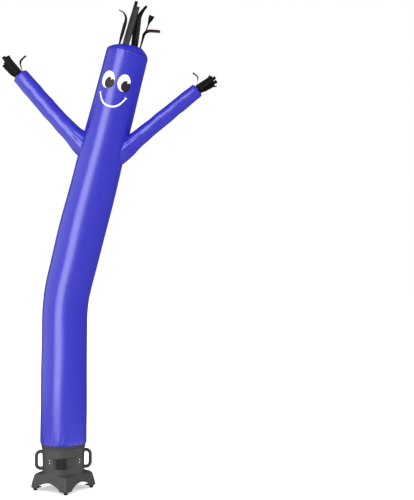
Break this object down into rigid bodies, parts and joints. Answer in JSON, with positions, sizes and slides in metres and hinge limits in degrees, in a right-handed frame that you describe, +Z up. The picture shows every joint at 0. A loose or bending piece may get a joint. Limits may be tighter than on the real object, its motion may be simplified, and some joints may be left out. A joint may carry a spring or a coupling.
{
  "type": "inflatable air dancer on its blower",
  "caption": "Tall inflated fabric tube figure with raised arms, smiling face and strip hair, clamped on a round blower with handles and feet.",
  "frame": {"origin": "middle of the whole object's box, on the floor that the blower's feet stand on", "axes": "+Z up; the blower's front foot and label face -Y and its handles lie along X; the dancer leans towards +X"},
  "size_m": [1.4262, 0.5732, 3.3358],
  "materials": {
    "tube_fabric": "satin ripstop nylon, inflated",
    "strip_fabric": "satin black nylon",
    "patch_white": "matt white applique nylon",
    "patch_dark": "matt dark applique nylon",
    "housing": "fine grained moulded plastic",
    "strap": "woven webbing",
    "label": "smooth, blank",
    "feet": "matt rubber",
    "steel": "bright plated",
    "trim": "matt"
  },
  "bodies": {
    "root": {"body_tube": "tube_fabric", "head_cap": "tube_fabric", "arm_left": "tube_fabric", "arm_right": "tube_fabric", "hair_curl": "strip_fabric", "hair_front": "strip_fabric", "hair_sheen": "strip_fabric", "hair_drop": "strip_fabric", "hair_fan": "strip_fabric", "hair_back": "strip_fabric", "hair_side": "strip_fabric", "fringe_left_upper": "strip_fabric", "fringe_left_flyer": "strip_fabric", "fringe_left_rear": "strip_fabric", "fringe_left_curve": "strip_fabric", "fringe_left_lowest": "strip_fabric", "fringe_left_lower": "strip_fabric", "fringe_left_front": "strip_fabric", "fringe_right_upper": "strip_fabric", "fringe_right_flyer": "strip_fabric", "fringe_right_rear": "strip_fabric", "fringe_right_curve": "strip_fabric", "fringe_right_lowest": "strip_fabric", "fringe_right_lower": "strip_fabric", "fringe_right_front": "strip_fabric", "eye_left": "patch_white", "eye_right": "patch_white", "smile": "patch_white", "pupil_left": "patch_dark", "pupil_right": "patch_dark", "barrel": "housing", "base_skirt": "housing", "handle_left": "housing", "handle_right": "housing", "strap": "strap", "label_plate": "label", "foot_right": "feet", "foot_back": "feet", "foot_left": "feet", "foot_front": "feet", "outlet_guard": "steel", "barrel_screw_upper_0": "steel", "barrel_screw_lower_0": "steel", "barrel_screw_upper_1": "steel", "barrel_screw_lower_1": "steel", "barrel_screw_upper_2": "steel", "barrel_screw_lower_2": "steel", "barrel_screw_upper_3": "steel", "barrel_screw_lower_3": "steel", "collar_screw_0": "steel", "collar_screw_1": "steel", "collar_screw_2": "steel", "collar_screw_3": "steel", "intake_guard": "trim", "cable_gland": "trim"}
  },
  "joints": []
}
